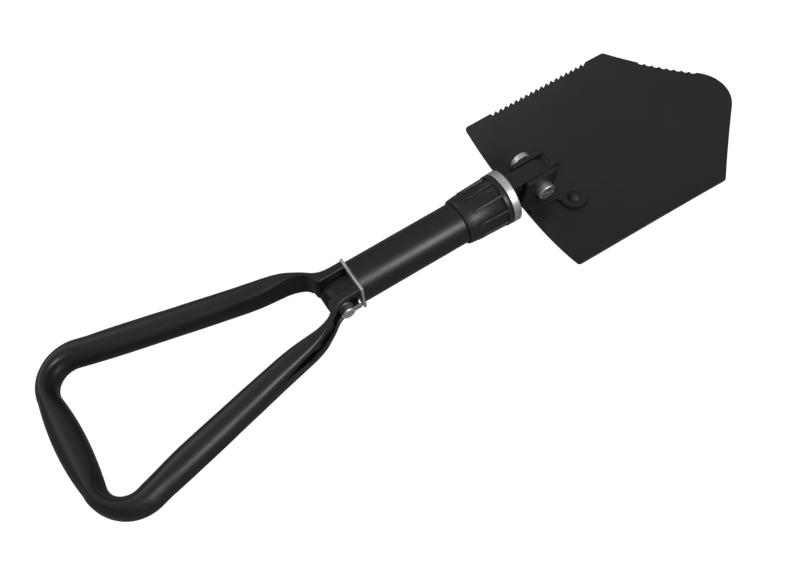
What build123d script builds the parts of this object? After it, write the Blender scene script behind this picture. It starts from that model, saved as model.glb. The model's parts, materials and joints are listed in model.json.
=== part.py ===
from build123d import *
import os
from math import asin, atan2, cos, degrees, radians, sin, sqrt, tan

# Tri-fold camp shovel, millimetres.  While building, x = 0 is the blade
# pivot, +X points along the shaft to the tip, +Y is the saw-toothed edge,
# +Z is up from the hollow face and z = 0 is the lowest line of the back.

# blade
blade_half_width = 76.0
shoulder_half_width = 77.0
blade_rear_x = -14.0
rear_bow = 0.5
shoulder_x = 123.5
point_x = 201.0
tip_radius = 29.0
sheet = 2.0
flat_half_width = 12.0
flat_depth = 0.08
rear_rise = 14.0
middle_rise = 12.5
shoulder_rise = 10.0
tip_rise = 1.6
rear_corner_radius = 2.5
shoulder_corner_radius = 4.0
tooth_count = 19
tooth_pitch = 5.0
tooth_depth = 2.2
first_tooth_gap = 25.0
scallop_count = 8
scallop_pitch = 6.1
scallop_depth = 1.5
scallop_start = 0.27

# hinge at the blade
pivot_height = 22.0
bracket_sheet = 2.5
tongue_half_width = 7.0
tongue_half_height = 14.0
ear_gap = 1.1
ear_thickness = 3.2
bolt_radius = 4.0
bolt_head_radius = 7.0
bolt_head_height = 5.0
bush_radius = 5.6
pivot_washer = 1.0
pivot_washer_radius = 9.0
spacer_radius = 7.2
spacer_length = 5.0
pivot_nut_radius = 7.8
pivot_nut_length = 5.0
ear_top_height = 15.0
saddle_overhang = 2.5
saddle_fillet = 4.5
lobe_offset_x = 23.0
lobe_offset_y = 20.6
lobe_radius = 10.4
rivet_head_radius = 5.2
rivet_head_height = 2.8
rivet_shank_radius = 3.0

# shaft and locking collar
tube_radius = 16.5
tube_wall = 1.5
tube_front_x = -62.0
tube_length = 99.0
plug_wall = 3.5
front_plug_length = 50.0
rear_plug_length = 34.0
plug_floor = 6.0
pin_radius = 2.0
head_pin_inset = 4.3
rear_pin_inset = 16.0
ring_front_x = -26.5
ring_thickness = 6.5
ring_travel = 6.0
ring_overhang = 0.2
collar_skirt = 8.6
collar_gap = 0.4
collar_wall = 2.5
collar_band_step = 1.8
collar_band_length = 4.2
insert_wall = 1.1
skirt_gap = 0.4
rib_count = 10
rib_width = 1.6
rib_phase = -11.3
rib_inset = 9.0
running_fit = 0.08
free_gap = 0.3

# hinge at the handle
plate_thickness = 2.2
plate_half_width = 15.5
plate_half_height = 13.5
handle_pivot_gap = 13.3
handle_pivot_drop = 5.5
handle_tongue_radius = 11.0
handle_tongue_half_width = 6.6
friction_washer = 0.5
screw_radius = 3.0
screw_head_radius = 5.6
screw_head_height = 6.2
handle_washer = 2.4
handle_bush_radius = 4.6
handle_nut_radius = 5.8
handle_nut_length = 5.0

# D handle
channel_half_height = 13.0
channel_wall = 1.9
channel_length = 28.5
arm_near_y = 25.2
arm_taper_length = 95.0
handle_length = 211.5
grip_half_length = 70.0
handle_tube_radius = 11.0
handle_tube_wall = 1.8
handle_bend_radius = 24.0
near_half_width = 7.6
near_half_height = 12.2

# values that follow from the sizes above
axis_z = sheet + pivot_height
tube_rear_x = tube_front_x - tube_length
plate_rear_x = tube_rear_x - plate_thickness
head_pin_x = tube_front_x - head_pin_inset
rear_pin_x = tube_rear_x + rear_pin_inset
plug_radius = tube_radius - tube_wall
plug_bore_radius = plug_radius - plug_wall
insert_radius = tube_radius + insert_wall
collar_radius = tube_radius + collar_wall
collar_band_radius = collar_radius + collar_band_step
collar_rear_x = tube_front_x - collar_skirt
ring_radius = collar_band_radius + ring_overhang
sleeve_front_x = ring_front_x - ring_thickness - ring_travel - 2 * free_gap
handle_pivot_x = plate_rear_x - handle_pivot_gap
arm_near_x = handle_pivot_x - channel_length
arm_full_x = arm_near_x - arm_taper_length
grip_x = handle_pivot_x - handle_length
handle_pivot_z = axis_z - handle_pivot_drop
tip_half = (point_x - shoulder_x, shoulder_half_width)
tip_angle = atan2(tip_half[1], tip_half[0])
tip_x = point_x - tip_radius * (1 / sin(tip_angle) - 1)
rear_x = grip_x - handle_tube_radius
shift_x = -(tip_x + rear_x) / 2
ear_inner = tongue_half_width + ear_gap
ear_outer = ear_inner + ear_thickness
web_inner = handle_tongue_half_width + friction_washer + 0.2
web_outer = web_inner + channel_wall + 0.1
pivot_stack = ear_outer + spacer_length + pivot_nut_length

parts = {}


def wire_of(points):
    edges = []
    for start, end in zip(points, points[1:] + points[:1]):
        edges.append(Edge.make_line(start, end))
    return Wire(edges)


def side_slab(points, y_low, y_high):
    # outline given as (x, z) pairs, pushed from y_low to y_high
    face = Face(wire_of([(x, y_low, z) for x, z in points]))
    return Solid.extrude(face, Vector(0, y_high - y_low, 0))


def flat_slab(points, z_low, z_high):
    # outline given as (x, y) pairs, pushed from z_low to z_high
    face = Face(wire_of([(x, y, z_low) for x, y in points]))
    return Solid.extrude(face, Vector(0, 0, z_high - z_low))


def block(x_low, x_high, y_low, y_high, z_low, z_high):
    size = (x_high - x_low, y_high - y_low, z_high - z_low)
    box = Solid.make_box(*size)
    return box.moved(Location((x_low, y_low, z_low)))


def along_x(radius, x_low, x_high, y=0.0, z=axis_z):
    plane = Plane(origin=(x_low, y, z), z_dir=(1, 0, 0))
    return Solid.make_cylinder(radius, x_high - x_low, plane)


def along_y(radius, y_low, y_high, x=0.0, z=axis_z):
    plane = Plane(origin=(x, y_low, z), z_dir=(0, 1, 0))
    return Solid.make_cylinder(radius, y_high - y_low, plane)


def along_z(radius, z_low, z_high, x=0.0, y=0.0):
    plane = Plane(origin=(x, y, z_low), z_dir=(0, 0, 1))
    return Solid.make_cylinder(radius, z_high - z_low, plane)


def tube_x(outer, inner, x_low, x_high):
    return along_x(outer, x_low, x_high) - along_x(inner, x_low - 1, x_high + 1)


def common(first, second):
    found = first.intersect(second)
    solids = [solid for item in found for solid in item.solids()]
    return solids[0] if len(solids) == 1 else Compound(children=solids)


def dish_section(x, rise, low, high):
    # closed strip across the blade between two depths of the dished sheet
    span = shoulder_half_width - flat_half_width
    face_radius = (span ** 2 + rise ** 2) / (2 * rise)
    back_radius = face_radius + sheet
    reach = asin(min(0.95, (span + 8.0) / face_radius))

    def at(side, offset, angle):
        radius = back_radius - offset
        y = side * (flat_half_width + radius * sin(angle))
        return (x, y, back_radius - radius * cos(angle))

    edges = []
    for offset, order in ((high, 1), (low, -1)):
        left = at(1, offset, reach)
        right = at(-1, offset, reach)
        flat_left = at(1, offset, 0)
        flat_right = at(-1, offset, 0)
        run = [
            Edge.make_three_point_arc(left, at(1, offset, reach / 2), flat_left),
            Edge.make_line(flat_left, flat_right),
            Edge.make_three_point_arc(flat_right, at(-1, offset, reach / 2), right),
        ]
        edges.extend(run if order > 0 else run[::-1])
    edges.insert(3, Edge.make_line(at(-1, high, reach), at(-1, low, reach)))
    edges.append(Edge.make_line(at(1, low, reach), at(1, high, reach)))
    return Wire(edges)


def dish_layer(low, high):
    stations = [
        (blade_rear_x - 18.0, rear_rise + 0.4),
        (shoulder_x * 0.45, middle_rise),
        (shoulder_x, shoulder_rise),
        (point_x + 6.0, tip_rise),
    ]
    wires = [dish_section(x, rise, low, high) for x, rise in stations]
    return Solid.make_loft(wires, False)


def blade_outline():
    rear_left = (blade_rear_x, blade_half_width)
    rear_mid = (blade_rear_x - rear_bow, 0)
    rear_right = (blade_rear_x, -blade_half_width)
    side_right = (shoulder_x, -shoulder_half_width)
    side_left = (shoulder_x, shoulder_half_width)
    edges = [
        Edge.make_three_point_arc(rear_left, rear_mid, rear_right),
        Edge.make_line(rear_right, side_right),
        Edge.make_line(side_right, (point_x, 0)),
        Edge.make_line((point_x, 0), side_left),
        Edge.make_line(side_left, rear_left),
    ]
    face = Face(Wire(edges))
    corners = {"rear": [], "side": [], "tip": []}
    for vertex in face.vertices():
        if vertex.X > point_x - 1:
            corners["tip"].append(vertex)
        elif vertex.X > shoulder_x - 1:
            corners["side"].append(vertex)
        else:
            corners["rear"].append(vertex)
    tip_key = corners["tip"]
    face = face.fillet_2d(tip_radius, tip_key)
    for name, radius in (("side", shoulder_corner_radius), ("rear", rear_corner_radius)):
        for place in corners[name]:
            near = [v for v in face.vertices() if (v - place).center().length < 0.01]
            face = face.fillet_2d(radius, near)
    return face


def saw_notches():
    run = (shoulder_x - blade_rear_x, shoulder_half_width - blade_half_width)
    length = sqrt(run[0] ** 2 + run[1] ** 2)
    along = (run[0] / length, run[1] / length)
    notches = []
    for index in range(tooth_count):
        start = first_tooth_gap + index * tooth_pitch

        def at(distance, depth):
            x = blade_rear_x + along[0] * distance + along[1] * depth
            y = blade_half_width + along[1] * distance - along[0] * depth
            return (x, y)

        outline = [
            at(start, -1.0),
            at(start, 0.0),
            at(start + tooth_pitch * 0.22, tooth_depth),
            at(start + tooth_pitch * 0.97, 0.0),
            at(start + tooth_pitch * 0.97, -1.0),
        ]
        notches.append(flat_slab(outline, -8, 40))
    return notches


def scallop_cutters():
    length = sqrt(tip_half[0] ** 2 + tip_half[1] ** 2)
    along = (tip_half[0] / length, -tip_half[1] / length)
    outward = (-along[1], along[0])
    chord = scallop_pitch * 0.94
    radius = (chord ** 2 / 4 + scallop_depth ** 2) / (2 * scallop_depth)
    cutters = []
    for index in range(scallop_count):
        distance = length * scallop_start + (index + 0.5) * scallop_pitch
        lift = radius - scallop_depth
        x = shoulder_x + along[0] * distance + outward[0] * lift
        y = shoulder_half_width + along[1] * distance + outward[1] * lift
        cutters.append(along_z(radius, -8, 40, x, y))
    return cutters


def blade_plate(rivet_holes):
    prism = Solid.extrude(blade_outline(), Vector(0, 0, 60))
    prism = prism.moved(Location((0, 0, -10)))
    plate = common(dish_layer(-flat_depth, sheet), prism)
    plate = plate - block(-400, 400, -200, 200, -20, 0)
    for cutter in saw_notches() + scallop_cutters() + rivet_holes:
        plate = plate - cutter
    return plate


def lobe_tilt():
    span = shoulder_half_width - flat_half_width
    face_radius = (span ** 2 + rear_rise ** 2) / (2 * rear_rise)
    return asin((lobe_offset_y - flat_half_width) / face_radius), face_radius


def rivet_plane(side):
    # stands on the hollow face of the sheet, square to it
    angle, radius = lobe_tilt()
    rise = sheet + radius - radius * cos(angle)
    origin = (lobe_offset_x, side * lobe_offset_y, rise)
    return Plane(origin=origin, z_dir=(0, -side * sin(angle), cos(angle)))


def rivet_shank(side, low, high):
    plane = rivet_plane(side)
    base = Plane(origin=plane.origin + plane.z_dir * low, z_dir=plane.z_dir)
    return Solid.make_cylinder(rivet_shank_radius, high - low, base)


def rivet_head(side):
    plane = rivet_plane(side)
    radius = rivet_head_radius
    height = rivet_head_height
    ball = (radius ** 2 + height ** 2) / (2 * height)
    seat = bracket_sheet + 0.05
    centre = plane.origin + plane.z_dir * (seat + height - ball)
    dome = Solid.make_sphere(ball, angle1=-90, angle2=90)
    dome = dome.moved(Location((centre.X, centre.Y, centre.Z)))
    base = Plane(origin=plane.origin + plane.z_dir * (seat - 0.6), z_dir=plane.z_dir)
    return common(dome, Solid.make_cylinder(radius, height + 2, base))


def hinge_bracket(rivet_holes):
    layer = dish_layer(sheet, sheet + bracket_sheet)
    bar = block(lobe_offset_x - lobe_radius, lobe_offset_x + lobe_radius,
                -lobe_offset_y, lobe_offset_y, -5, 40)
    outline = bar
    for side in (-1, 1):
        outline = outline + along_z(lobe_radius, -5, 40, lobe_offset_x, side * lobe_offset_y)
    outline = outline - block(lobe_offset_x + 1.8, lobe_offset_x + 30, -12.5, 12.5, -6, 41)
    wide = ear_outer + saddle_overhang
    saddle = block(-12.5, lobe_offset_x, -wide, wide, -5, 40)
    outline = outline + saddle
    inner_corners = []
    for edge in outline.edges().filter_by(Axis.Z):
        place = edge.center()
        if abs(abs(place.Y) - wide) < 0.1 and 0 < place.X < lobe_offset_x - 5:
            inner_corners.append(edge)
    outline = outline.fillet(saddle_fillet, inner_corners)
    bracket = common(layer, outline)
    low = sheet + bracket_sheet / 2
    top = axis_z + ear_top_height
    ear = [
        (-13.5, low), (-19.4, axis_z - 10.5), (-19.2, axis_z - 3.0),
        (-15.2, top - 1.8), (-13.6, top), (11.6, top), (12.8, top - 1.2),
        (9.2, axis_z - 3.5), (8.4, low),
    ]
    for side in (-1, 1):
        near, far = sorted((side * ear_inner, side * ear_outer))
        bracket = bracket + side_slab(ear, near, far)
    bracket = bracket - along_y(bolt_radius, -30, 30)
    for hole in rivet_holes:
        bracket = bracket - hole
    return bracket


def pivot_bolt():
    head_low = -ear_outer - bolt_head_height
    head = along_y(bolt_head_radius, head_low, -ear_outer)
    rim = head.edges().filter_by(GeomType.CIRCLE).sort_by(Axis.Y)[0]
    head = head.chamfer(0.5, None, [rim])
    slot = block(-8, 8, head_low - 1, head_low + 1.5, -0.8, 0.8)
    slot = slot.rotate(Axis.Y, 28).moved(Location((0, 0, axis_z)))
    shank = along_y(bolt_radius, -ear_outer - 0.5, pivot_stack + 0.9)
    return (head - slot) + shank


def head_fitting():
    plug_rear = tube_front_x - front_plug_length
    plug = along_x(plug_radius, plug_rear, sleeve_front_x)
    plug = plug - along_x(plug_bore_radius, plug_rear - 1, sleeve_front_x - plug_floor - 2)
    half = tongue_half_height
    wide = tongue_half_width
    bar = block(sleeve_front_x, 0, -wide, wide, axis_z - half, axis_z + half)
    nose = along_y(half, -wide, wide)
    fitting = plug + bar + nose
    fitting = fitting - along_y(bush_radius, -30, 30)
    return fitting - along_y(pin_radius, -30, 30, x=head_pin_x)


def threaded_sleeve():
    sleeve = tube_x(tube_radius, plug_radius, tube_front_x, sleeve_front_x)
    for index in range(6):
        x = tube_front_x + 3.0 + index * 3.0
        sleeve = sleeve - tube_x(tube_radius + 1, tube_radius - 0.35, x, x + 1.0)
    groove = tube_x(tube_radius + 1, tube_radius - 0.8, sleeve_front_x - 1.6, sleeve_front_x - 0.6)
    return sleeve - groove


def lock_collar():
    front = ring_front_x - ring_thickness - collar_gap
    band = front - collar_band_length
    shell = along_x(collar_radius, collar_rear_x, band)
    shell = shell + along_x(collar_band_radius, band, front)
    rim = shell.edges().filter_by(GeomType.CIRCLE).sort_by(Axis.X)[0]
    shell = shell.chamfer(0.8, None, [rim])
    rib = [
        (collar_rear_x + rib_inset, axis_z + collar_radius - 1.5),
        (collar_rear_x + rib_inset, axis_z + collar_radius + 0.2),
        (band + 0.2, axis_z + collar_band_radius - 0.2),
        (band + 0.2, axis_z + collar_radius - 1.5),
    ]
    centre = Axis((0, 0, axis_z), (1, 0, 0))
    for index in range(rib_count):
        bar = side_slab(rib, -rib_width / 2, rib_width / 2)
        shell = shell + bar.rotate(centre, rib_phase + index * 360 / rib_count)
    seat_rear = tube_front_x + 3.0
    shell = shell - along_x(tube_radius + skirt_gap, collar_rear_x - 1, front + 1)
    shell = shell - along_x(insert_radius, seat_rear, front + 1)
    return shell


def collar_insert():
    inner = tube_radius + running_fit
    return tube_x(insert_radius, inner, tube_front_x + 3.0, sleeve_front_x - 3.2)


def thrust_ring():
    rear = ring_front_x - ring_thickness
    ring = along_x(ring_radius, rear, ring_front_x)
    rims = ring.edges().filter_by(GeomType.CIRCLE)
    ring = ring.chamfer(0.5, None, list(rims))
    wide = tongue_half_width + free_gap
    high = tongue_half_height + free_gap
    return ring - block(rear - 1, ring_front_x + 1, -wide, wide, axis_z - high, axis_z + high)


def handle_fitting():
    plug_front = tube_rear_x + rear_plug_length
    plug = along_x(plug_radius, tube_rear_x, plug_front)
    plug = plug - along_x(plug_bore_radius, tube_rear_x + plug_floor, plug_front + 1)
    wide = handle_tongue_half_width
    top = handle_pivot_z + handle_tongue_radius
    low = axis_z - plate_half_height + 3.0
    bar = block(handle_pivot_x, tube_rear_x + 2, -wide, wide, low, top)
    nose = along_y(handle_tongue_radius, -wide, wide, handle_pivot_x, handle_pivot_z)
    fitting = plug + bar + nose
    fitting = fitting - along_y(handle_bush_radius, -30, 30, handle_pivot_x, handle_pivot_z)
    return fitting - along_z(pin_radius, -5, axis_z - 4, rear_pin_x)


def stop_plate():
    high = plate_half_height
    wide = plate_half_width
    plate = block(plate_rear_x, tube_rear_x, -wide, wide, axis_z - high, axis_z + high)
    top = handle_pivot_z + handle_tongue_radius
    hole = block(plate_rear_x - 1, tube_rear_x + 1, -handle_tongue_half_width,
                 handle_tongue_half_width, axis_z - high + 3.0, top)
    return plate - hole


def rear_pin():
    tube = along_x(tube_radius, tube_rear_x, rear_pin_x + 10)
    top = axis_z - plug_bore_radius - 0.5
    return common(along_z(pin_radius, -5, top, rear_pin_x), tube)


def head_pin():
    tube = along_x(tube_radius, head_pin_x - 10, head_pin_x + 10)
    return common(along_y(pin_radius, -30, 30, x=head_pin_x), tube)


def ring_on_y(outer, inner, y_low, y_high, x, z):
    hole = along_y(inner, y_low - 1, y_high + 1, x, z)
    return along_y(outer, y_low, y_high, x, z) - hole


def web_line(offset):
    # inner face of one channel web, seen from above, moved out by offset
    step = offset * 0.7
    return [
        (plate_rear_x - free_gap, web_inner + offset),
        (handle_pivot_x - 9.6 + step * 0.4, web_inner + offset),
        (handle_pivot_x - 12.0 + offset, web_inner + 2.3 + step),
        (handle_pivot_x - 13.2 + offset, web_inner + 6.7 + step * 0.5),
        (handle_pivot_x - 15.4 + step * 1.2, web_inner + 10.1 + step * 0.8),
        (handle_pivot_x - 20.0 + step, web_inner + 12.7 + step),
        (handle_pivot_x - 28.0 + offset * 0.3, web_inner + 14.5 + offset),
        (arm_near_x - 9.0, web_inner + 14.7 + offset),
    ]


def outer_line():
    return [
        (arm_near_x - 9.0, web_inner + 26.2),
        (arm_near_x, web_inner + 23.3),
        (handle_pivot_x - 15.0, web_inner + 15.1),
        (handle_pivot_x - 7.0, web_inner + 10.3),
        (handle_pivot_x + 1.0, web_inner + 8.1),
        (plate_rear_x - free_gap, web_inner + 7.9),
    ]


def channel_end(side):
    outline = web_line(0.0) + outer_line()
    pocket = web_line(channel_wall) + [(arm_near_x - 9.0, 60.0), (plate_rear_x + 1, 60.0),
                                       (plate_rear_x + 1, web_inner + channel_wall)]
    high = channel_half_height
    outline = [(x, side * y) for x, y in outline]
    pocket = [(x, side * y) for x, y in pocket]
    solid = flat_slab(outline, axis_z - high, axis_z + high)
    inside = high - channel_wall
    return solid - flat_slab(pocket, axis_z - inside, axis_z + inside)


def arm_ends(side):
    slope = (grip_half_length - arm_near_y) / (arm_near_x - grip_x)
    full_y = arm_near_y + arm_taper_length * slope
    length = sqrt(1 + slope ** 2)
    direction = Vector(-1 / length, side * slope / length, 0)
    near = Vector(arm_near_x, side * arm_near_y, axis_z)
    full = Vector(arm_full_x, side * full_y, axis_z)
    return near, full, direction


def oval(centre, direction, half_width, half_height):
    across = direction.cross(Vector(0, 0, 1))
    plane = Plane(origin=centre, x_dir=across, z_dir=direction)
    return Wire([Edge.make_ellipse(half_width, half_height, plane)])


def arm_loft(side, inset):
    near, full, direction = arm_ends(side)
    start = near if inset == 0 else near - direction * 0.5
    radius = handle_tube_radius - inset
    wires = [
        oval(start, direction, near_half_width - inset, near_half_height - inset),
        oval(full, direction, radius, radius),
    ]
    return Solid.make_loft(wires, True)


def grip_path():
    near, right_full, right_way = arm_ends(-1)
    near, left_full, left_way = arm_ends(1)
    right_end = Vector(grip_x, -grip_half_length, axis_z)
    left_end = Vector(grip_x, grip_half_length, axis_z)
    bend = handle_bend_radius
    # the bend turns through the angle between arm and grip
    turn = atan2(-right_way.X, -right_way.Y)
    trim = bend * tan((radians(90) + (radians(90) - turn)) / 2)
    right_start = right_end - right_way * trim
    left_start = left_end - left_way * trim
    right_grip = right_end + Vector(0, trim, 0)
    left_grip = left_end - Vector(0, trim, 0)
    right_arc = Edge.make_tangent_arc(right_start, right_way, right_grip)
    left_arc = Edge.make_tangent_arc(left_grip, Vector(0, 1, 0), left_start)
    edges = [
        Edge.make_line(right_full, right_start),
        right_arc,
        Edge.make_line(right_grip, left_grip),
        left_arc,
        Edge.make_line(left_start, left_full),
    ]
    return Wire(edges)


def grip_sweep(inset):
    path = grip_path()
    near, full, direction = arm_ends(-1)
    plane = Plane(origin=full, x_dir=(0, 0, 1), z_dir=direction)
    profile = Face(Wire([Edge.make_circle(handle_tube_radius - inset, plane)]))
    return Solid.sweep(profile, path)


def handle_sweep_clearance():
    # room swept by the stop plate and tube as the handle folds under
    arc = 210

    def sector(radius, half_width):
        start = Plane(origin=(handle_pivot_x, -half_width, handle_pivot_z),
                      x_dir=(1, 0, 0), z_dir=(0, 1, 0))
        full = Solid.make_cylinder(90, 2 * half_width, start, arc)
        core = along_y(radius, -half_width - 1, half_width + 1, handle_pivot_x, handle_pivot_z)
        return full - core

    plate_room = sector(plate_rear_x - handle_pivot_x - 0.25, plate_half_width + 0.5)
    tube_room = sector(tube_rear_x - handle_pivot_x - 0.4, tube_radius + 0.6)
    return plate_room + tube_room


def d_handle():
    outer = grip_sweep(0)
    inner = grip_sweep(handle_tube_wall)
    for side in (-1, 1):
        outer = outer + arm_loft(side, 0)
    for side in (-1, 1):
        inner = inner + arm_loft(side, handle_tube_wall)
    handle = outer - inner
    for side in (-1, 1):
        handle = handle + channel_end(side)
    handle = handle - handle_sweep_clearance()
    for low, high in ((-40, -web_outer), (web_outer, 40)):
        handle = handle - along_y(8.0, low, high, handle_pivot_x, handle_pivot_z)
    return handle - along_y(screw_radius, -30, 30, handle_pivot_x, handle_pivot_z)


def handle_screw():
    x, z = handle_pivot_x, handle_pivot_z
    seat = -web_outer - handle_washer
    head = along_y(screw_head_radius, seat - screw_head_height, seat, x, z)
    rim = head.edges().filter_by(GeomType.CIRCLE).sort_by(Axis.Y)[0]
    head = head.fillet(1.6, [rim])
    face = seat - screw_head_height
    slot = block(x - 8, x + 8, face - 1, face + 1.8, z - 1.0, z + 1.0)
    end = web_outer + handle_washer + handle_nut_length + 0.6
    shank = along_y(screw_radius, seat - 0.5, end, x, z)
    return (head - slot) + shank


def handle_nut():
    x, z = handle_pivot_x, handle_pivot_z
    y = web_outer + handle_washer
    plane = Plane(origin=(x, y, z), x_dir=(1, 0, 0), z_dir=(0, 1, 0))
    hexagon = extrude(plane * RegularPolygon(handle_nut_radius, 6), handle_nut_length)
    return hexagon - along_y(screw_radius, y - 1, y + handle_nut_length + 1, x, z)


def build_blade_group():
    sides = (-1, 1)
    holes = [rivet_shank(side, -sheet - 3, bracket_sheet + 8) for side in sides]
    parts["blade_plate"] = blade_plate(holes)
    bracket = hinge_bracket(holes)
    parts["hinge_bracket"] = bracket
    rivets = []
    for side in sides:
        head = rivet_head(side) - bracket
        shank = rivet_shank(side, -sheet + 0.15, bracket_sheet + 0.6)
        rivets.append(head + shank)
    parts["bracket_rivets"] = rivets
    parts["pivot_bolt"] = pivot_bolt()
    seat = ear_outer + spacer_length
    parts["pivot_spacer"] = ring_on_y(spacer_radius, bolt_radius, ear_outer, seat, 0, axis_z)
    parts["pivot_nut"] = ring_on_y(pivot_nut_radius, bolt_radius, seat, pivot_stack, 0, axis_z)


def build_shaft_group():
    tube = tube_x(tube_radius, plug_radius, tube_rear_x, tube_front_x)
    tube = tube - along_z(pin_radius, -5, axis_z - 4, rear_pin_x)
    parts["shaft_tube"] = tube - along_y(pin_radius, -30, 30, x=head_pin_x)
    parts["head_fitting"] = head_fitting()
    parts["threaded_sleeve"] = threaded_sleeve()
    parts["snap_ring"] = tube_x(tube_radius + 0.7, tube_radius - 0.8,
                                sleeve_front_x - 1.6, sleeve_front_x - 0.6)
    wide = tongue_half_width
    bore = bolt_radius + running_fit
    parts["pivot_bush"] = ring_on_y(bush_radius, bore, -wide, wide, 0, axis_z)
    parts["pivot_washers"] = [
        ring_on_y(pivot_washer_radius, bolt_radius + free_gap, low, low + pivot_washer, 0, axis_z)
        for low in (-wide - pivot_washer, wide)
    ]
    parts["head_pin"] = head_pin()
    parts["handle_fitting"] = handle_fitting()
    parts["stop_plate"] = stop_plate()
    parts["rear_pin"] = rear_pin()
    x, z, wide = handle_pivot_x, handle_pivot_z, handle_tongue_half_width
    bore = screw_radius + running_fit
    parts["handle_bush"] = ring_on_y(handle_bush_radius, bore, -wide, wide, x, z)
    washers = []
    for low in (-wide - friction_washer, wide):
        washers.append(ring_on_y(9.4, screw_radius + 0.3, low, low + friction_washer, x, z))
    parts["friction_washers"] = washers


def build_handle_group():
    x, z = handle_pivot_x, handle_pivot_z
    parts["d_handle"] = d_handle()
    parts["handle_screw"] = handle_screw()
    parts["handle_nut"] = handle_nut()
    washers = []
    for low in (-web_outer - handle_washer, web_outer):
        washers.append(ring_on_y(6.4, screw_radius, low, low + handle_washer, x, z))
    parts["handle_washers"] = washers


def build_collar_group():
    parts["thrust_ring"] = thrust_ring()
    parts["lock_collar"] = lock_collar()
    parts["collar_insert"] = collar_insert()


def save(name, shape):
    solids = []
    for item in (shape if isinstance(shape, list) else [shape]):
        solids.extend(item.solids())
    moved = [solid.moved(Location((shift_x, 0, 0))) for solid in solids]
    result = moved[0] if len(moved) == 1 else Compound(children=moved)
    result.label = name
    export_step(result, "parts/" + name + ".step")


os.makedirs("parts", exist_ok=True)
build_blade_group()
build_shaft_group()
build_collar_group()
build_handle_group()
for name, shape in parts.items():
    save(name, shape)
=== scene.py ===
import json
from math import acos, asin, atan2, cos, exp, hypot, pi, radians, sin, sqrt, tan

import bmesh
import bpy
from mathutils import Matrix, Vector

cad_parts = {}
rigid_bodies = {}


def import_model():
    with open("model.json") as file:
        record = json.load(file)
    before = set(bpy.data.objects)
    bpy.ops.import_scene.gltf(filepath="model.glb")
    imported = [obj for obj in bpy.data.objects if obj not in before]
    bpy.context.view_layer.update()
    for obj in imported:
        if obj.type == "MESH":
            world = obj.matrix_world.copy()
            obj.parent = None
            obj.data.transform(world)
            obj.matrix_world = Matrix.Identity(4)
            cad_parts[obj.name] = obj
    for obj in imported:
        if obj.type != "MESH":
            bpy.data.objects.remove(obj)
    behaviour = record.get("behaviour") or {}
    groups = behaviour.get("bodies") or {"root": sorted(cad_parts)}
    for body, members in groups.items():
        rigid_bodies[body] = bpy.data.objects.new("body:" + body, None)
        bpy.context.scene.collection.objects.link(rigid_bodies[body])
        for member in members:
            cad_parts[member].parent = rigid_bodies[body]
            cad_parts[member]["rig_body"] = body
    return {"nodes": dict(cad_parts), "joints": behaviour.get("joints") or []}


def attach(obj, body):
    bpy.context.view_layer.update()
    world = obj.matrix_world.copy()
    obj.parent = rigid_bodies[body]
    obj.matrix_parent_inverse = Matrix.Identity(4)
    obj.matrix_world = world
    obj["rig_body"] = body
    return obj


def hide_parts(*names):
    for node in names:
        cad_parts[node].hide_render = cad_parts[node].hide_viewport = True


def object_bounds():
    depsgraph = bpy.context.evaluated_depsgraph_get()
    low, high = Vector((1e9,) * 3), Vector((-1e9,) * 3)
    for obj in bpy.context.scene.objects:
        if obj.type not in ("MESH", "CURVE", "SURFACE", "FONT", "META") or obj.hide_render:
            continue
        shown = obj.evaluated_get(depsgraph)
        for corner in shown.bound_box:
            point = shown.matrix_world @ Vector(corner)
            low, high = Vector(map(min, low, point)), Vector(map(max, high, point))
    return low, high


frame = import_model()
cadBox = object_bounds()
mm = 0.001
scene = bpy.context.scene
nodes = frame["nodes"]
jointAt = {joint["name"]: Vector(joint.get("pos_m", (0, 0, 0))) for joint in frame["joints"]}
bladePivot = jointAt["blade_fold"]
handlePivot = jointAt["handle_fold"]
axisZ = bladePivot.z
print("frame loaded:", len(nodes), "nodes")


def place(x, y, z):
    # millimetres from the blade pivot, z from the shaft axis, to the row frame
    return Vector((bladePivot.x + x * mm, y * mm, axisZ + z * mm))


def newPiece(name, vertices, faces, smooth=True):
    mesh = bpy.data.meshes.new(name)
    mesh.from_pydata([tuple(vertex) for vertex in vertices], [], faces)
    mesh.validate()
    piece = bpy.data.objects.new(name, mesh)
    scene.collection.objects.link(piece)
    if smooth:
        mesh.shade_smooth()
    return piece


def makePlain(piece):
    # bakes the live modifiers into the mesh
    graph = bpy.context.evaluated_depsgraph_get()
    mesh = bpy.data.meshes.new_from_object(piece.evaluated_get(graph))
    mesh.name = piece.name
    piece.modifiers.clear()
    piece.data = mesh
    return piece


def smoothByAngle(piece, degreesLimit=35):
    piece.data.shade_smooth()
    piece.data.set_sharp_from_angle(angle=radians(degreesLimit))


def fixNormals(piece):
    work = bmesh.new()
    work.from_mesh(piece.data)
    bmesh.ops.remove_doubles(work, verts=work.verts, dist=1e-6)
    bmesh.ops.recalc_face_normals(work, faces=work.faces)
    work.to_mesh(piece.data)
    work.free()


def bevelEdges(piece, width, segments, angle):
    cut = piece.modifiers.new("bevel", "BEVEL")
    cut.width = width * mm
    cut.segments = segments
    cut.limit_method = "ANGLE"
    cut.angle_limit = radians(angle)
    return makePlain(piece)


def finishPiece(piece, body, replaced, material):
    piece.data.materials.clear()
    piece.data.materials.append(material)
    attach(piece, body)
    if replaced:
        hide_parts(*replaced)
    return piece


# node groups shared by the materials

def makeGroup(name, inputs, outputs):
    group = bpy.data.node_groups.new(name, "ShaderNodeTree")
    for label, kind, value in inputs:
        socket = group.interface.new_socket(name=label, in_out="INPUT", socket_type=kind)
        socket.default_value = value
    for label, kind in outputs:
        group.interface.new_socket(name=label, in_out="OUTPUT", socket_type=kind)
    entry = group.nodes.new("NodeGroupInput")
    leave = group.nodes.new("NodeGroupOutput")
    return group, entry, leave


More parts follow.
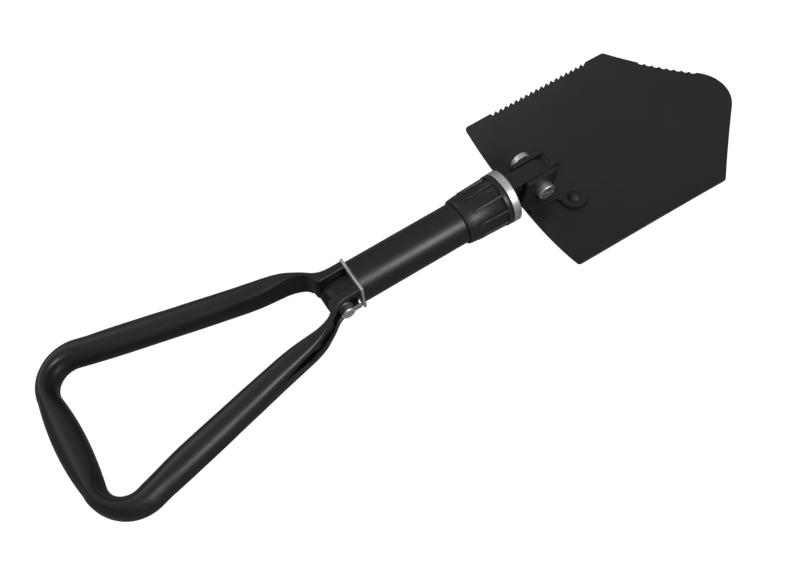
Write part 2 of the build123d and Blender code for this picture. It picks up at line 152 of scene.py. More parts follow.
def addNode(tree, kind, settings=None, inputs=None):
    node = tree.nodes.new(kind)
    for key, value in (settings or {}).items():
        setattr(node, key, value)
    for key, value in (inputs or {}).items():
        if hasattr(value, "is_output"):
            tree.links.new(value, node.inputs[key])
        else:
            node.inputs[key].default_value = value
    return node


def mathNode(tree, operation, first, second=0.5, clamp=False):
    node = addNode(tree, "ShaderNodeMath", {"operation": operation, "use_clamp": clamp})
    for index, value in enumerate((first, second)):
        if hasattr(value, "is_output"):
            tree.links.new(value, node.inputs[index])
        else:
            node.inputs[index].default_value = value
    return node.outputs[0]


def rangeNode(tree, value, fromMin, fromMax, toMin=0.0, toMax=1.0):
    inputs = {"Value": value, "From Min": fromMin, "From Max": fromMax,
              "To Min": toMin, "To Max": toMax}
    return addNode(tree, "ShaderNodeMapRange", {"clamp": True}, inputs).outputs[0]


def noiseNode(tree, vector, scale, detail=3.0, roughness=0.5):
    inputs = {"Vector": vector, "Scale": scale, "Detail": detail, "Roughness": roughness}
    return addNode(tree, "ShaderNodeTexNoise", None, inputs).outputs[0]


def orangePeelGroup():
    # fine pebbled skin of powder coat, with a slow drift in gloss
    group, entry, leave = makeGroup(
        "orangePeel",
        [("Vector", "NodeSocketVector", (0, 0, 0)), ("Pebble Scale", "NodeSocketFloat", 900.0),
         ("Drift Scale", "NodeSocketFloat", 24.0), ("Fleck", "NodeSocketFloat", 0.5)],
        [("Height", "NodeSocketFloat"), ("Drift", "NodeSocketFloat"), ("Flecks", "NodeSocketFloat")])
    vector = entry.outputs["Vector"]
    pebble = noiseNode(group, vector, entry.outputs["Pebble Scale"], 2.0, 0.6)
    fine = mathNode(group, "MULTIPLY", entry.outputs["Pebble Scale"], 2.7)
    grit = noiseNode(group, vector, fine, 1.0, 0.5)
    height = mathNode(group, "ADD", pebble, mathNode(group, "MULTIPLY", grit, 0.35))
    drift = noiseNode(group, vector, entry.outputs["Drift Scale"], 4.0, 0.55)
    speck = rangeNode(group, grit, 0.62, 0.78)
    flecks = mathNode(group, "MULTIPLY", speck, entry.outputs["Fleck"])
    group.links.new(height, leave.inputs["Height"])
    group.links.new(drift, leave.inputs["Drift"])
    group.links.new(flecks, leave.inputs["Flecks"])
    return group


def rubbedEdgeGroup():
    # where paint has rubbed thin: an edge value broken up by noise
    group, entry, leave = makeGroup(
        "rubbedEdge",
        [("Vector", "NodeSocketVector", (0, 0, 0)), ("Edge", "NodeSocketFloat", 0.0),
         ("Amount", "NodeSocketFloat", 0.5), ("Breakup Scale", "NodeSocketFloat", 160.0)],
        [("Mask", "NodeSocketFloat"), ("Polish", "NodeSocketFloat")])
    vector = entry.outputs["Vector"]
    coarse = noiseNode(group, vector, entry.outputs["Breakup Scale"], 5.0, 0.7)
    patch = noiseNode(group, vector, 18.0, 2.0, 0.5)
    edge = mathNode(group, "MULTIPLY", entry.outputs["Edge"], entry.outputs["Amount"])
    mixed = mathNode(group, "ADD", edge, mathNode(group, "MULTIPLY", coarse, 0.9))
    mixed = mathNode(group, "ADD", mixed, mathNode(group, "MULTIPLY", patch, 0.7))
    mask = rangeNode(group, mixed, 1.36, 1.44)  # a hard line between paint and bare metal
    gate = rangeNode(group, entry.outputs["Edge"], 0.02, 0.25)  # nothing on open faces
    group.links.new(mathNode(group, "MULTIPLY", mask, gate), leave.inputs["Mask"])
    polish = rangeNode(group, mixed, 1.0, 1.5)
    group.links.new(mathNode(group, "MULTIPLY", polish, gate), leave.inputs["Polish"])
    return group


def scratchGroup():
    # thin hairline marks running mostly one way
    group, entry, leave = makeGroup(
        "hairScratches",
        [("Vector", "NodeSocketVector", (0, 0, 0)), ("Stretch", "NodeSocketVector", (12, 260, 60)),
         ("Threshold", "NodeSocketFloat", 0.66)],
        [("Mask", "NodeSocketFloat")])
    scaled = addNode(group, "ShaderNodeVectorMath", {"operation": "MULTIPLY"})
    group.links.new(entry.outputs["Vector"], scaled.inputs[0])
    group.links.new(entry.outputs["Stretch"], scaled.inputs[1])
    lines = noiseNode(group, scaled.outputs[0], 1.0, 3.0, 0.65)
    upper = mathNode(group, "ADD", entry.outputs["Threshold"], 0.05)
    node = addNode(group, "ShaderNodeMapRange", {"clamp": True}, {"Value": lines})
    group.links.new(entry.outputs["Threshold"], node.inputs["From Min"])
    group.links.new(upper, node.inputs["From Max"])
    area = rangeNode(group, noiseNode(group, entry.outputs["Vector"], 9.0, 2.0), 0.45, 0.65)
    group.links.new(mathNode(group, "MULTIPLY", node.outputs[0], area), leave.inputs["Mask"])
    return group


def turnedGroup():
    # rings left by a lathe around the shaft axis, plus handling marks
    group, entry, leave = makeGroup(
        "turnedMarks",
        [("Vector", "NodeSocketVector", (0, 0, 0)), ("Ring Scale", "NodeSocketFloat", 900.0)],
        [("Height", "NodeSocketFloat"), ("Cloud", "NodeSocketFloat")])
    split = addNode(group, "ShaderNodeSeparateXYZ", None, {"Vector": entry.outputs["Vector"]})
    squares = [mathNode(group, "MULTIPLY", split.outputs[axis], split.outputs[axis])
               for axis in (1, 2)]
    radius = mathNode(group, "SQRT", mathNode(group, "ADD", *squares))
    line = mathNode(group, "ADD", radius, split.outputs[0])
    wave = mathNode(group, "SINE", mathNode(group, "MULTIPLY", line, entry.outputs["Ring Scale"]))
    grain = noiseNode(group, entry.outputs["Vector"], 500.0, 3.0, 0.6)
    height = mathNode(group, "ADD", mathNode(group, "MULTIPLY", wave, 0.3), grain)
    group.links.new(height, leave.inputs["Height"])
    cloud = noiseNode(group, entry.outputs["Vector"], 70.0, 5.0, 0.65)
    group.links.new(cloud, leave.inputs["Cloud"])
    return group


groups = {
    "peel": orangePeelGroup(),
    "edge": rubbedEdgeGroup(),
    "scratch": scratchGroup(),
    "turned": turnedGroup(),
}


def groupNode(tree, key, inputs):
    node = addNode(tree, "ShaderNodeGroup", {"node_tree": groups[key]})
    for label, value in inputs.items():
        if hasattr(value, "is_output"):
            tree.links.new(value, node.inputs[label])
        else:
            node.inputs[label].default_value = value
    return node


def startMaterial(name, centre=(0, 0, 0)):
    material = bpy.data.materials.new(name)
    material.use_nodes = True
    tree = material.node_tree
    shader = tree.nodes["Principled BSDF"]
    coords = addNode(tree, "ShaderNodeTexCoord")
    mapping = addNode(tree, "ShaderNodeMapping", None, {"Vector": coords.outputs["Object"]})
    mapping.inputs["Location"].default_value = [-value for value in centre]
    return material, tree, shader, mapping.outputs[0]


def mixColour(tree, factor, first, second):
    node = addNode(tree, "ShaderNodeMix", {"data_type": "RGBA"})
    for socket, value in ((node.inputs[0], factor), (node.inputs[6], first), (node.inputs[7], second)):
        if hasattr(value, "is_output"):
            tree.links.new(value, socket)
        else:
            socket.default_value = value if socket == node.inputs[0] else (*value, 1.0)
    return node.outputs[2]


def bumpInto(tree, shader, height, strength, distance):
    bump = addNode(tree, "ShaderNodeBump", None, {"Height": height})
    bump.inputs["Strength"].default_value = strength
    bump.inputs["Distance"].default_value = distance
    tree.links.new(bump.outputs[0], shader.inputs["Normal"])


def coatMaterial(name, look):
    # painted steel: pebbled coat, rubbed edges down to bare metal, hairline marks
    material, tree, shader, vector = startMaterial(name)
    peel = groupNode(tree, "peel", {"Vector": vector, "Pebble Scale": look["pebbleScale"],
                                    "Fleck": look["fleck"]})
    edgeValue = addNode(tree, "ShaderNodeAttribute", {"attribute_name": "rub"}).outputs["Fac"]
    edge = groupNode(tree, "edge", {"Vector": vector, "Edge": edgeValue,
                                    "Amount": look["edgeWear"]})
    scratch = groupNode(tree, "scratch", {"Vector": vector, "Threshold": look["scratchLevel"]})
    drift = rangeNode(tree, peel.outputs["Drift"], 0.35, 0.65)
    paint = mixColour(tree, drift, look["colour"], look["driftColour"])
    paint = mixColour(tree, peel.outputs["Flecks"], paint, look["fleckColour"])
    marks = mathNode(tree, "MULTIPLY", scratch.outputs["Mask"], look["scratchTint"])
    paint = mixColour(tree, marks, paint, look["scuffColour"])
    paint = mixColour(tree, edge.outputs["Polish"], paint, look["polishColour"])
    colour = mixColour(tree, edge.outputs["Mask"], paint, look["bareColour"])
    tree.links.new(colour, shader.inputs["Base Color"])
    tree.links.new(edge.outputs["Mask"], shader.inputs["Metallic"])
    rough = rangeNode(tree, peel.outputs["Drift"], 0.3, 0.7, look["roughness"] - 0.05,
                      look["roughness"] + 0.06)
    rough = mathNode(tree, "SUBTRACT", rough,
                     mathNode(tree, "MULTIPLY", edge.outputs["Polish"], 0.12))
    tree.links.new(rough, shader.inputs["Roughness"])
    height = mathNode(tree, "SUBTRACT", peel.outputs["Height"],
                      mathNode(tree, "MULTIPLY", edge.outputs["Mask"], 1.2))
    bumpInto(tree, shader, height, look["bump"], look["bumpDepth"])
    return material


def metalMaterial(name, look):
    material, tree, shader, vector = startMaterial(name, (0, 0, axisZ))
    turned = groupNode(tree, "turned", {"Vector": vector, "Ring Scale": look["ringScale"]})
    scratch = groupNode(tree, "scratch", {"Vector": vector, "Stretch": look["stretch"],
                                          "Threshold": 0.6})
    cloud = rangeNode(tree, turned.outputs["Cloud"], 0.3, 0.7)
    colour = mixColour(tree, cloud, look["colour"], look["stainColour"])
    colour = mixColour(tree, scratch.outputs["Mask"], colour, look["markColour"])
    tree.links.new(colour, shader.inputs["Base Color"])
    shader.inputs["Metallic"].default_value = 1.0
    rough = rangeNode(tree, turned.outputs["Cloud"], 0.25, 0.75, look["roughness"] - 0.08,
                      look["roughness"] + 0.1)
    rough = mathNode(tree, "ADD", rough, mathNode(tree, "MULTIPLY", scratch.outputs["Mask"], 0.15))
    tree.links.new(rough, shader.inputs["Roughness"])
    bumpInto(tree, shader, turned.outputs["Height"], look["bump"], 0.0002)
    return material


def nylonMaterial(name, look):
    material, tree, shader, vector = startMaterial(name)
    peel = groupNode(tree, "peel", {"Vector": vector, "Pebble Scale": 1500.0, "Fleck": 0.2})
    drift = rangeNode(tree, peel.outputs["Drift"], 0.3, 0.7)
    edgeValue = addNode(tree, "ShaderNodeAttribute", {"attribute_name": "rub"}).outputs["Fac"]
    edge = groupNode(tree, "edge", {"Vector": vector, "Edge": edgeValue, "Amount": 0.5})
    colour = mixColour(tree, drift, look["colour"], look["driftColour"])
    colour = mixColour(tree, edge.outputs["Polish"], colour, look["rubColour"])
    tree.links.new(colour, shader.inputs["Base Color"])
    rough = rangeNode(tree, peel.outputs["Drift"], 0.3, 0.7, look["roughness"] - 0.05,
                      look["roughness"] + 0.05)
    tree.links.new(rough, shader.inputs["Roughness"])
    bumpInto(tree, shader, peel.outputs["Height"], 0.25, 0.00008)
    return material


bladeCoatLook = {
    "colour": (0.0058, 0.0058, 0.0060), "driftColour": (0.0082, 0.0082, 0.0085),
    "fleckColour": (0.026, 0.026, 0.027), "scuffColour": (0.030, 0.030, 0.031),
    "polishColour": (0.016, 0.016, 0.017), "bareColour": (0.30, 0.30, 0.31),
    "pebbleScale": 1100.0, "fleck": 0.30, "edgeWear": 0.55, "scratchLevel": 0.66,
    "scratchTint": 0.35, "roughness": 0.55, "bump": 0.40, "bumpDepth": 0.00014,
}
tubeCoatLook = {
    "colour": (0.0052, 0.0052, 0.0054), "driftColour": (0.0072, 0.0072, 0.0075),
    "fleckColour": (0.022, 0.022, 0.023), "scuffColour": (0.030, 0.030, 0.031),
    "polishColour": (0.015, 0.015, 0.016), "bareColour": (0.34, 0.34, 0.35),
    "pebbleScale": 1300.0, "fleck": 0.22, "edgeWear": 0.45, "scratchLevel": 0.67,
    "scratchTint": 0.3, "roughness": 0.37, "bump": 0.26, "bumpDepth": 0.00011,
}
zincLook = {
    "colour": (0.80, 0.81, 0.82), "stainColour": (0.62, 0.63, 0.64), "markColour": (0.90, 0.91, 0.92),
    "ringScale": 5200.0, "stretch": (300.0, 60.0, 300.0), "roughness": 0.40, "bump": 0.35,
}
steelLook = {
    "colour": (0.30, 0.30, 0.31), "stainColour": (0.18, 0.18, 0.19), "markColour": (0.42, 0.42, 0.43),
    "ringScale": 7200.0, "stretch": (300.0, 60.0, 300.0), "roughness": 0.36, "bump": 0.4,
}
bronzeLook = {
    "colour": (0.46, 0.31, 0.14), "stainColour": (0.30, 0.19, 0.08), "markColour": (0.60, 0.44, 0.22),
    "ringScale": 7200.0, "stretch": (300.0, 60.0, 300.0), "roughness": 0.36, "bump": 0.4,
}
nylonLook = {
    "colour": (0.0062, 0.0064, 0.0068), "driftColour": (0.0090, 0.0092, 0.0097),
    "rubColour": (0.022, 0.022, 0.023), "roughness": 0.38,
}

bladeCoat = coatMaterial("bladeCoat", bladeCoatLook)
tubeCoat = coatMaterial("tubeCoat", tubeCoatLook)
zincPlate = metalMaterial("zincPlate", zincLook)
oiledSteel = metalMaterial("oiledSteel", steelLook)
oiledBronze = metalMaterial("oiledBronze", bronzeLook)
blackNylon = nylonMaterial("blackNylon", nylonLook)
print("materials ready")


# rubbed paint and softened normals

def markRub(piece, base, spots, sharpAngle):
    # how far the paint is rubbed at each vertex: edges first, then worn spots
    work = bmesh.new()
    work.from_mesh(piece.data)
    layer = work.verts.layers.float.get("rub") or work.verts.layers.float.new("rub")
    for edge in work.edges:
        if len(edge.link_faces) == 2 and edge.calc_face_angle(0) > radians(sharpAngle):
            for vertex in edge.verts:
                value = base
                for centre, reach, peak in spots:
                    near = max(0.0, 1 - (vertex.co - centre).length / (reach * mm))
                    value += (peak - base) * near
                vertex[layer] = max(vertex[layer], value)
    work.to_mesh(piece.data)
    work.free()


def softenNormals(piece):
    # broad faces keep their own normal and the bevels take the turn
    piece.data.shade_smooth()
    piece.data.set_sharp_from_angle(angle=radians(50))
    weighted = piece.modifiers.new("weighted", "WEIGHTED_NORMAL")
    weighted.keep_sharp = True
    weighted.weight = 80
    return makePlain(piece)


# worn copies of machined and pressed parts

def refinedCopy(node, material, bevel=0.35, rub=0.5, spots=()):
    source = nodes[node]
    piece = bpy.data.objects.new(node + "_made", source.data.copy())
    scene.collection.objects.link(piece)
    work = bmesh.new()
    work.from_mesh(piece.data)
    bmesh.ops.remove_doubles(work, verts=work.verts, dist=2e-6)
    bmesh.ops.dissolve_limit(work, angle_limit=radians(0.6), verts=work.verts, edges=work.edges)
    work.to_mesh(piece.data)
    work.free()
    bevelEdges(piece, bevel, 3, 32)
    markRub(piece, rub, spots, 12)
    softenNormals(piece)
    return finishPiece(piece, source["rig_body"], [node], material)


# worn paint on one ear: centre, reach in mm, rub at the centre
earSpots = [(place(-10.5, -9.7, 14.5), 4.0, 1.9), (place(-5.5, -9.7, 15), 3.0, 1.8)]
refinedParts = {  # coat, bevel width, rub along the edges, worn spots
    "hinge_bracket": (bladeCoat, 0.5, 0.12, earSpots),
    "bracket_rivets": (bladeCoat, 0.2, 0.5, []),
    "head_fitting": (tubeCoat, 0.7, 0.3, []),
    "handle_fitting": (tubeCoat, 0.4, 0.3, []),
    "shaft_tube": (tubeCoat, 0.4, 0.2, []),
    "pivot_bolt": (zincPlate, 0.3, 0.0, []),
    "pivot_spacer": (bladeCoat, 0.3, 0.3, []),
    "pivot_nut": (zincPlate, 0.8, 0.0, []),
    "thrust_ring": (zincPlate, 0.4, 0.0, []),
    "stop_plate": (zincPlate, 0.25, 0.0, []),
    "handle_screw": (zincPlate, 0.3, 0.0, []),
    "handle_nut": (zincPlate, 0.35, 0.0, []),
    "handle_washers": (oiledSteel, 0.3, 0.0, []),
}
for name, (material, bevel, rub, spots) in refinedParts.items():
    refinedCopy(name, material, bevel, rub, spots)

keptParts = {
    "threaded_sleeve": oiledSteel, "snap_ring": oiledSteel, "head_pin": oiledSteel,
    "rear_pin": oiledSteel, "friction_washers": oiledSteel, "collar_insert": oiledSteel,
    "pivot_bush": oiledBronze, "handle_bush": oiledBronze, "pivot_washers": oiledSteel,
}
for name, material in keptParts.items():
    nodes[name].data.materials.clear()
    nodes[name].data.materials.append(material)
print("hardware ready")


# blade: the outline cut from a flat sheet, then dished to the CAD surface

bladeShape = {
    "rearX": -14.0, "halfWidth": 76.0, "shoulderHalf": 77.0, "shoulderX": 123.5,
    "pointX": 201.0, "tipRadius": 29.0, "sheet": 2.0, "flatHalf": 12.0, "rearRadius": 2.5,
    "shoulderRadius": 4.0, "teeth": 19, "toothPitch": 5.0, "toothDepth": 2.2, "toothStart": 25.0,
    "toothRise": 0.22, "toothFall": 0.92, "toothFoot": 0.06,
    "scallops": 8, "scallopPitch": 6.1, "scallopDepth": 1.5, "scallopStart": 0.27,
    "scallopLead": 0.03, "scallopRun": 0.94,
    "gridStep": 4.0, "rim": 0.5, "rimRub": 0.8, "rimRubReach": 1.6,
    "readFirst": 2.0, "readLast": 34.0, "readStep": 6.0, "readSide": 0.86, "readTip": 0.8,
    "readBelow": 80.0,
}


def filletPoints(before, corner, after, radius, steps):
    # arc of the given radius tucked into a corner of the outline
    back = (Vector(before) - Vector(corner)).normalized()
    ahead = (Vector(after) - Vector(corner)).normalized()
    half = acos(max(-1.0, min(1.0, back.dot(ahead)))) / 2
    centre = Vector(corner) + (back + ahead).normalized() * (radius / sin(half))
    start = Vector(corner) + back * (radius / tan(half)) - centre
    end = Vector(corner) + ahead * (radius / tan(half)) - centre
    turn = start.angle_signed(end)
    points = []
    for index in range(steps + 1):
        angle = -turn * index / steps
        c, n = cos(angle), sin(angle)
        points.append((centre.x + start.x * c - start.y * n, centre.y + start.x * n + start.y * c))
    return points


def toothPoints(shape):
    # along the side edge from the rear corner towards the shoulder
    start = Vector((shape["rearX"], shape["halfWidth"]))
    run = Vector((shape["shoulderX"], shape["shoulderHalf"])) - start
    along = run.normalized()
    inward = Vector((along.y, -along.x))
    points = []
    for index in range(shape["teeth"]):
        at = shape["toothStart"] + index * shape["toothPitch"]
        pitch = shape["toothPitch"]
        for distance, depth in ((at, 0), (at + pitch * shape["toothRise"], shape["toothDepth"]),
                                (at + pitch * shape["toothFall"], shape["toothFoot"])):
            point = start + along * distance + inward * depth
            points.append((point.x, point.y))
    return points


def scallopPoints(shape, steps=7):
    # shallow bites along the edge that runs from the shoulder to the tip
    start = Vector((shape["shoulderX"], shape["shoulderHalf"]))
    run = Vector((shape["pointX"], 0)) - start
    along = run.normalized()
    inward = Vector((along.y, -along.x))
    pitch, depth = shape["scallopPitch"], shape["scallopDepth"]
    points = []
    for index in range(shape["scallops"]):
        low = run.length * shape["scallopStart"] + (index + shape["scallopLead"]) * pitch
        for step in range(steps + 1):
            share = step / steps
            point = start + along * (low + share * pitch * shape["scallopRun"])
            point += inward * depth * (1 - (2 * share - 1) ** 2)
            points.append((point.x, point.y))
    return points


def bladeOutline(shape):
    rearLeft = (shape["rearX"], shape["halfWidth"])
    rearRight = (shape["rearX"], -shape["halfWidth"])
    left = (shape["shoulderX"], shape["shoulderHalf"])
    right = (shape["shoulderX"], -shape["shoulderHalf"])
    tip = (shape["pointX"], 0)
    points = filletPoints(rearRight, rearLeft, left, shape["rearRadius"], 6)
    points += toothPoints(shape)
    points += filletPoints(rearLeft, left, tip, shape["shoulderRadius"], 6)
    points += scallopPoints(shape)
    points += filletPoints(left, tip, right, shape["tipRadius"], 28)
    points += filletPoints(tip, right, rearRight, shape["shoulderRadius"], 6)
    points += filletPoints(right, rearRight, rearLeft, shape["rearRadius"], 6)
    return points


def backRadii(shape):
    # the dish radius at stations along the blade, read off the CAD surface
    source = nodes["blade_plate"]
    stations = []
    x = shape["rearX"] + shape["readFirst"]
    while x < shape["pointX"] - shape["readLast"]:
        reach = min(shape["readSide"] * shape["halfWidth"], shape["readTip"] * (shape["pointX"] - x))
        below = place(x, -reach, -shape["readBelow"])
        found, spot = source.ray_cast(below, Vector((0, 0, 1)))[:2]
        if found:
            lift = spot.z / mm - source.bound_box[0][2] / mm
            side = reach - shape["flatHalf"]
            stations.append((x, (side ** 2 + lift ** 2) / (2 * lift)))
        x += shape["readStep"]
    return stations


def radiusAt(stations, x):
    if x <= stations[0][0]:
        return stations[0][1]
    for (lowX, low), (highX, high) in zip(stations, stations[1:]):
        if x <= highX:
            share = (x - lowX) / (highX - lowX)
            return 1 / ((1 - share) / low + share / high)
    (lowX, low), (highX, high) = stations[-2:]
    rate = (1 / high - 1 / low) / (highX - lowX)
    return 1 / max(1e-4, 1 / high + rate * (x - highX))


def sheetFromOutline(name, outline, thickness, rim, step):
    # flat sheet with a rounded rim, cut into cells so that it can be dished
    work = bmesh.new()
    low = [work.verts.new((x, y, 0)) for x, y in outline]
    base = work.faces.new(low)
    bmesh.ops.recalc_face_normals(work, faces=[base])
    raised = bmesh.ops.extrude_face_region(work, geom=[base])["geom"]
    bmesh.ops.translate(work, verts=[item for item in raised if isinstance(item, bmesh.types.BMVert)],
                        vec=(0, 0, thickness))
    bmesh.ops.recalc_face_normals(work, faces=work.faces)
    rims = [edge for edge in work.edges if abs(edge.verts[0].co.z - edge.verts[1].co.z) < 1e-6]
    bmesh.ops.bevel(work, geom=rims, offset=rim, segments=3, profile=0.5, affect="EDGES")
    spans = [(min(v.co[axis] for v in work.verts), max(v.co[axis] for v in work.verts))
             for axis in (0, 1)]
    for axis, (lowest, highest) in enumerate(spans):
        cut = lowest + step
        while cut < highest - step / 2:
            normal = Vector((1, 0, 0)) if axis == 0 else Vector((0, 1, 0))
            spot = normal * cut
            geometry = work.verts[:] + work.edges[:] + work.faces[:]
            bmesh.ops.bisect_plane(work, geom=geometry, plane_co=spot, plane_no=normal, dist=1e-5)
            cut += step
    mesh = bpy.data.meshes.new(name)
    work.to_mesh(mesh)
    work.free()
    piece = bpy.data.objects.new(name, mesh)
    scene.collection.objects.link(piece)
    return piece


def outlineDistance(outline, x, y):
    nearest = 1e9
    for (ax, ay), (bx, by) in zip(outline, outline[1:] + outline[:1]):
        dx, dy = bx - ax, by - ay
        span = dx * dx + dy * dy
        share = max(0.0, min(1.0, ((x - ax) * dx + (y - ay) * dy) / span)) if span else 0.0
        nearest = min(nearest, hypot(x - ax - share * dx, y - ay - share * dy))
    return nearest


def makeBlade(shape):
    outline = bladeOutline(shape)
    piece = sheetFromOutline("blade_sheet", outline, shape["sheet"], shape["rim"], shape["gridStep"])
    stations = backRadii(shape)
    floorZ = nodes["blade_plate"].bound_box[0][2]
    rub = piece.data.attributes.new("rub", "FLOAT", "POINT")
    for index, vertex in enumerate(piece.data.vertices):
        x, y, level = vertex.co
        distance = outlineDistance(outline, x, y)
        rub.data[index].value = max(0.0, 1 - distance / shape["rimRubReach"]) * shape["rimRub"]
        radius = radiusAt(stations, x)
        side = max(0.0, abs(y) - shape["flatHalf"])
        rise = radius - sqrt((radius - level) ** 2 - side ** 2)
        spot = place(x, y, 0)
        vertex.co = (spot.x, spot.y, floorZ + rise * mm)
    fixNormals(piece)
    softenNormals(piece)
    return finishPiece(piece, "blade", ["blade_plate"], bladeCoat)


makeBlade(bladeShape)
print("blade ready")


# D handle: channel ends that close into round tube, one loop of sections

handleShape = {
    # inner and outer edge of one arm seen from above, then the half height,
    # the squareness of the section, the half height of its opening and its tilt
    "stations": [
        ((-163.5, 7.3), (-163.5, 15.2), 13.0, 5.5, 9.2, 0.0),
        ((-172.0, 7.3), (-172.0, 15.2), 13.0, 5.5, 9.2, 0.0),
        ((-181.0, 7.3), (-178.5, 15.9), 13.0, 5.5, 9.2, 0.0),
        ((-185.8, 7.5), (-182.0, 17.2), 13.0, 5.5, 9.2, 0.0),
        ((-187.9, 9.8), (-185.0, 18.7), 13.0, 5.5, 9.2, 0.0),
        ((-189.0, 14.8), (-188.5, 21.0), 13.0, 5.5, 9.2, 0.0),
        ((-191.3, 18.3), (-192.2, 23.6), 13.0, 5.3, 9.0, 0.0),
        ((-196.0, 20.7), (-197.0, 27.0), 12.8, 5.0, 8.6, 0.03),
        ((-204.0, 22.5), (-203.0, 31.2), 12.6, 4.4, 7.8, 0.08),
        ((-214.0, 22.6), (-212.0, 35.5), 12.2, 3.6, 6.4, 0.20),
        ((-226.0, 23.0), (-224.0, 39.2), 12.0, 3.0, 4.6, 0.32),
        ((-237.0, 24.4), (-235.0, 42.2), 11.8, 2.7, 2.2, 0.38),
        ((-246.0, 26.0), (-244.0, 44.7), 11.6, 2.5, 0.2, 0.36),
        ((-270.0, 30.9), (-267.0, 50.9), 11.3, 2.3, 0.2, 0.2),
        ((-286.0, 34.3), (-283.0, 55.2), 11.1, 2.1, 0.2, 0.1),
        ((-302.0, 37.8), (-298.0, 59.3), 11.0, 2.0, 0.2, 0.0),
        ((-330.0, 44.5), (-326.0, 66.1), 11.0, 2.0, 0.2, 0.0),
        ((-350.0, 49.8), (-345.5, 70.5), 11.0, 2.0, 0.2, 0.0),
    ],
    "bendCentre": (-364.0, 39.4), "bendRadius": 24.4, "bendHalfWidth": 7.4, "bendHalfHeight": 12.4,
    "bendEndHalf": 7.9, "gripX": -388.7, "tubeRadius": 11.0, "gripHalf": 11.4,
    "gripEndOuter": 7.6, "gripEndInner": 8.2, "seam": 0.2, "cornerSquare": 0.4,
    "bendLead": (8.3, 2.0), "bendSlack": 0.4, "squeezeBy": 1.15, "squeezePower": 1.5,
    "widenFrom": 0.55, "widenOver": 0.45,
    # depth, then the angle round the section and the width of each dent
    "topDent": 2.8, "topDentAt": (2.4, 0.6), "sideCrease": 0.8, "sideCreaseAt": (0.8, 0.32),
    "dentFrom": 322.0, "dentOver": 28.0, "armDent": 0.45, "bendDentBy": 1.6,
    "lipBevel": 0.35, "lipRub": 0.35, "wall": 2.0, "stepsPerSpan": 5,
    "around": 44, "bendSteps": 26, "gripSteps": 16,
    # room for the fold: degrees of turn, how far it reaches, then radius and half width
    "foldArc": 192.0, "foldSteps": 42, "foldReach": 90.0,
    "plateRoom": (12.95, 16.0), "tubeRoom": (15.1, 17.1),
}


def smoothBetween(values, index, share):
    # Catmull-Rom through a list of equal-length tuples
    first = values[max(0, index - 1)]
    second = values[index]
    third = values[index + 1]
    fourth = values[min(len(values) - 1, index + 2)]
    result = []
    for a, b, c, d in zip(first, second, third, fourth):
        result.append(0.5 * (2 * b + (c - a) * share + (2 * a - 5 * b + 4 * c - d) * share ** 2
                             + (3 * b - a - 3 * c + d) * share ** 3))
    return tuple(result)


def handleSections(shape):
    # each section: inner x and y, outer x and y, half height, squareness,
    # half opening, tilt of the opening and share of the dents
    flat = []
    for inner, outer, *rest in shape["stations"]:
        near = max(0.0, (-inner[0] - shape["dentFrom"]) / shape["dentOver"])
        flat.append((*inner, *outer, *rest, near ** 2 * shape["armDent"]))
    sections = []
    for index in range(len(flat) - 1):
        for step in range(shape["stepsPerSpan"]):
            sections.append(smoothBetween(flat, index, step / shape["stepsPerSpan"]))
    last = flat[-1]
    sections.append(last)
    centre, radius = shape["bendCentre"], shape["bendRadius"]
    leadX, leadY = shape["bendLead"]
    startAngle = atan2((last[1] + last[3]) / 2 + leadY - centre[1],
                       (last[0] + last[2]) / 2 - leadX - centre[0])
    tube, slack, square = shape["tubeRadius"], shape["bendSlack"], shape["cornerSquare"]
    seam, armDent = shape["seam"], shape["armDent"]
    for step in range(1, shape["bendSteps"] + 1):
        share = step / shape["bendSteps"]
        angle = startAngle + (pi - startAngle) * share
        squeeze = sin(pi * min(1.0, share * shape["squeezeBy"]) * 0.5) ** shape["squeezePower"]
        half = tube - slack + (shape["bendHalfWidth"] - tube + slack) * squeeze
        widened = max(0.0, share - shape["widenFrom"])
        half += (shape["bendEndHalf"] - shape["bendHalfWidth"]) * widened / shape["widenOver"]
        high = tube + (shape["bendHalfHeight"] - tube) * squeeze
        ring = [(centre[0] + r * cos(angle), centre[1] + r * sin(angle))
                for r in (radius - half, radius + half)]
        dent = armDent + (1 - armDent) * sin(pi * min(1.0, share * shape["bendDentBy"]) * 0.5)
        sections.append((*ring[0], *ring[1], high, 2.0 + square * squeeze, seam, 0.0, dent))
    for step in range(1, shape["gripSteps"] + 1):
        share = step / shape["gripSteps"]
        y = centre[1] * (1 - share)
        grown = 1 - (y / centre[1]) ** 2
        inner, outer, high = (end + (shape["gripHalf"] - end) * grown for end in
                              (shape["gripEndInner"], shape["gripEndOuter"], shape["bendHalfHeight"]))
        sections.append((shape["gripX"] + inner, y, shape["gripX"] - outer, y, high,
                         2.0 + square - square * grown, seam, 0.0, (1 - grown) ** 1.5))
    return sections


def dentAt(angle, share, shape):
    # hollow pressed into the inner top and a crease high on the outside
    (hollowAngle, hollowWidth), (creaseAngle, creaseWidth) = shape["topDentAt"], shape["sideCreaseAt"]
    hollow = shape["topDent"] * exp(-((angle - hollowAngle) / hollowWidth) ** 2)
    crease = shape["sideCrease"] * exp(-((angle - creaseAngle) / creaseWidth) ** 2)
    return share * (hollow + crease)


